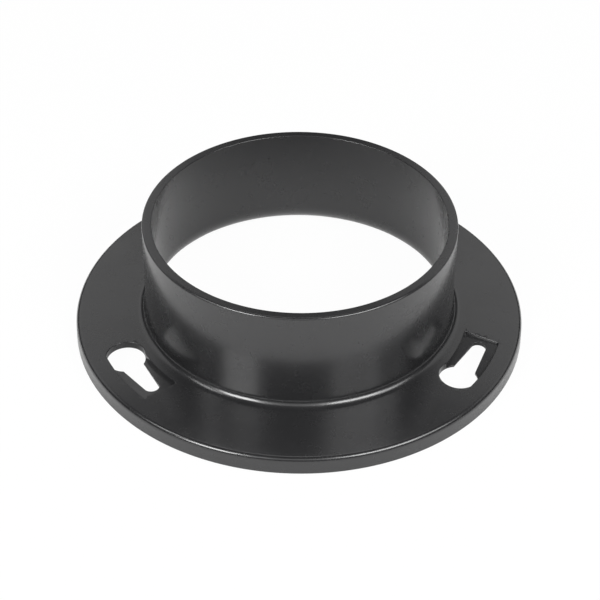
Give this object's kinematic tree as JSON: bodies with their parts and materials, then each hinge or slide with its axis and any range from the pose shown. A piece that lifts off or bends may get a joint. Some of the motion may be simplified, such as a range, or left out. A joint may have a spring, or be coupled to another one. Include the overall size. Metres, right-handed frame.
{
  "type": "duct flange",
  "caption": "Round duct connector flange: a short collar for a flexible duct rises from a disc with a turned-down rim and twist-on keyholes for wall screws.",
  "frame": {"origin": "on the collar's axis, in the plane that the skirt stands on", "axes": "+Z along the collar's axis, from the wall towards the duct; -Y is the front of the picture, and one keyhole is at the back, towards +Y"},
  "size_m": [0.18, 0.18, 0.0508],
  "materials": {
    "moulded_plastic": "satin, near black"
  },
  "bodies": {
    "root": {"duct_flange": "moulded_plastic"}
  },
  "joints": []
}
